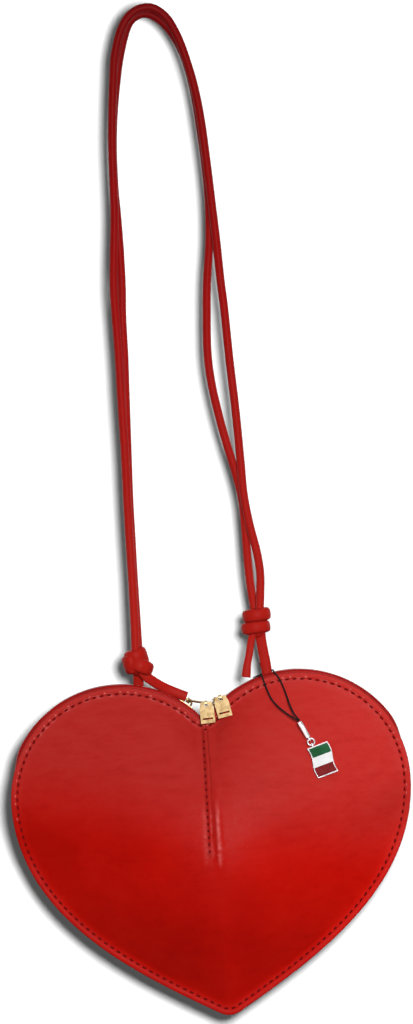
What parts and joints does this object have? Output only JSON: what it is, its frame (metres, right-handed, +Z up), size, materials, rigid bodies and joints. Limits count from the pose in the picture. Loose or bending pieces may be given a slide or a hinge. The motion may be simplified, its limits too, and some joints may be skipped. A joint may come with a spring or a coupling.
{
  "type": "leather shoulder bag",
  "caption": "Heart-shaped zipped shoulder bag in red leather, hanging from a doubled leather cord strap with knots, zip pulls on both lobes and a small enamelled flag charm",
  "frame": {"origin": "crown of the strap, between its two cords, where the bag hangs from a hook", "axes": "+X to the wearer's view right of the front, -Y out of the front panel, +Z up along the strap"},
  "size_m": [0.2, 0.06, 0.5075],
  "materials": {
    "leather": "smooth red leather with a soft sheen",
    "strap": "round red leather cord",
    "lining": "plain woven lining",
    "tape": "woven zip tape",
    "gold": "polished pale gold plating",
    "silver": "polished silver plating",
    "cord": "thin waxed black cord",
    "green": "glossy green enamel",
    "white": "glossy white enamel",
    "maroon": "glossy dark red enamel"
  },
  "bodies": {
    "strap": {"strap_strand_front": "strap", "strap_strand_back": "strap", "left_knot": "strap", "right_knot": "strap", "left_leg": "strap", "right_leg": "strap", "left_tail": "strap", "right_tail": "strap"},
    "bag": {"front_panel": "leather", "back_panel": "leather", "front_lining": "lining", "back_lining": "lining", "gusset_front": "leather", "gusset_back": "leather", "zip_tape_front": "tape", "zip_tape_back": "tape", "zip_teeth_front": "gold", "zip_teeth_back": "gold", "left_zip_stop": "gold", "right_zip_stop": "gold", "left_gusset_tab": "leather", "right_gusset_tab": "leather", "left_strap_loop": "leather", "right_strap_loop": "leather"},
    "left_slider": {"left_slider": "gold", "left_pull_link": "gold"},
    "right_slider": {"right_slider": "gold", "right_pull_link": "gold"},
    "left_puller": {"left_puller": "gold"},
    "right_puller": {"right_puller": "gold"},
    "charm": {"charm_cord": "cord", "charm_ferrule": "silver", "charm_ring": "silver"},
    "charm_flag": {"charm_frame": "silver", "enamel_green": "green", "enamel_white": "white", "enamel_maroon": "maroon"}
  },
  "joints": [
    {"name": "bag_swing", "type": "hinge", "parent": "strap", "child": "bag", "pos_m": [0, 0.0056, -0.32996], "axis": [1, 0, 0], "range_deg": [-10, 35], "deforming": ["left_tail", "right_tail"]},
    {"name": "left_slide", "type": "hinge", "parent": "bag", "child": "left_slider", "pos_m": [-0.0445, 0, -0.3892], "axis": [0, 1, 0], "range_deg": [-90, 0]},
    {"name": "right_slide", "type": "hinge", "parent": "bag", "child": "right_slider", "pos_m": [0.0445, 0, -0.3892], "axis": [0, 1, 0], "range_deg": [0, 88]},
    {"name": "left_pull", "type": "hinge", "parent": "left_slider", "child": "left_puller", "pos_m": [0.00137, -0.0112, -0.34513], "axis": [0.9994, 0.0084, 0.0339], "range_deg": [-100, 0]},
    {"name": "right_pull", "type": "hinge", "parent": "right_slider", "child": "right_puller", "pos_m": [0.00867, -0.0112, -0.34292], "axis": [0.9848, 0.042, 0.1685], "range_deg": [-100, 0]},
    {"name": "charm_lift", "type": "hinge", "parent": "bag", "child": "charm", "pos_m": [0.03081, 0.0056, -0.32996], "axis": [1, 0, 0], "range_deg": [-70, 0], "deforming": ["charm_cord"]},
    {"name": "flag_lift", "type": "hinge", "parent": "charm", "child": "charm_flag", "pos_m": [0.05237, -0.02141, -0.37043], "axis": [0.9613, 0, 0.2756], "range_deg": [-60, 0]}
  ]
}
